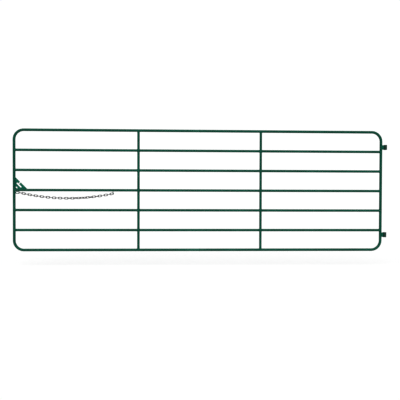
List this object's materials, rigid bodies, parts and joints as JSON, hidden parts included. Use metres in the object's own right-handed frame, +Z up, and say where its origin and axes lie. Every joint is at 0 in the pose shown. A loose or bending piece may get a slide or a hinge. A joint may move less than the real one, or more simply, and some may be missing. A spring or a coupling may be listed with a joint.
{
  "type": "livestock panel gate",
  "caption": "Welded round-tube yard gate with rounded corners, level rails, upright stays, weld-on hinge barrels and a latch chain that drops into a slotted corner plate.",
  "frame": {"origin": "centre of the lower hinge barrel's bore", "axes": "+Z up along the hinge line, the leaf reaches along -X to the latch end, -Y is the front face"},
  "size_m": [3.658, 0.0334, 1.187],
  "materials": {
    "green_enamel": "gloss powder coat over welded steel",
    "hinge_enamel": "dark green coat, worn",
    "zinc_chain": "zinc plated, gone dull"
  },
  "bodies": {
    "gate_leaf": {"latch_end_bow": "green_enamel", "hinge_end_bow": "green_enamel", "rail_2": "green_enamel", "rail_3": "green_enamel", "rail_4": "green_enamel", "rail_5": "green_enamel", "rail_6": "green_enamel", "hinge_side_stay_1": "green_enamel", "hinge_side_stay_2": "green_enamel", "hinge_side_stay_3": "green_enamel", "hinge_side_stay_4": "green_enamel", "hinge_side_stay_5": "green_enamel", "hinge_side_stay_6": "green_enamel", "latch_side_stay_1": "green_enamel", "latch_side_stay_2": "green_enamel", "latch_side_stay_3": "green_enamel", "latch_side_stay_4": "green_enamel", "latch_side_stay_5": "green_enamel", "latch_side_stay_6": "green_enamel", "latch_plate": "green_enamel", "upper_hinge_tab": "green_enamel", "upper_hinge_barrel": "hinge_enamel", "lower_hinge_tab": "green_enamel", "lower_hinge_barrel": "hinge_enamel", "anchor_link": "green_enamel", "chain_hook": "green_enamel"},
    "latch_chain": {"chain_link_01": "zinc_chain", "chain_link_02": "zinc_chain", "chain_link_03": "zinc_chain", "chain_link_04": "zinc_chain", "chain_link_05": "zinc_chain", "chain_link_06": "zinc_chain", "chain_link_07": "zinc_chain", "chain_link_08": "zinc_chain", "chain_link_09": "zinc_chain", "chain_link_10": "zinc_chain", "chain_link_11": "zinc_chain", "chain_link_12": "zinc_chain", "chain_link_13": "zinc_chain", "chain_link_14": "zinc_chain", "chain_link_15": "zinc_chain", "chain_link_16": "zinc_chain", "chain_link_17": "zinc_chain", "chain_link_18": "zinc_chain", "chain_link_19": "zinc_chain", "chain_link_20": "zinc_chain", "chain_link_21": "zinc_chain", "chain_link_22": "zinc_chain", "chain_link_23": "zinc_chain", "chain_link_24": "zinc_chain", "chain_link_25": "zinc_chain", "chain_link_26": "zinc_chain", "chain_link_27": "zinc_chain", "chain_link_28": "zinc_chain", "chain_link_29": "zinc_chain", "chain_link_30": "zinc_chain", "chain_link_31": "zinc_chain"}
  },
  "joints": [
    {"name": "chain_swing", "type": "hinge", "parent": "gate_leaf", "child": "latch_chain", "pos_m": [-3.58145, 0, 0.4073], "axis": [1, 0, 0], "range_deg": [-20, 20]}
  ]
}
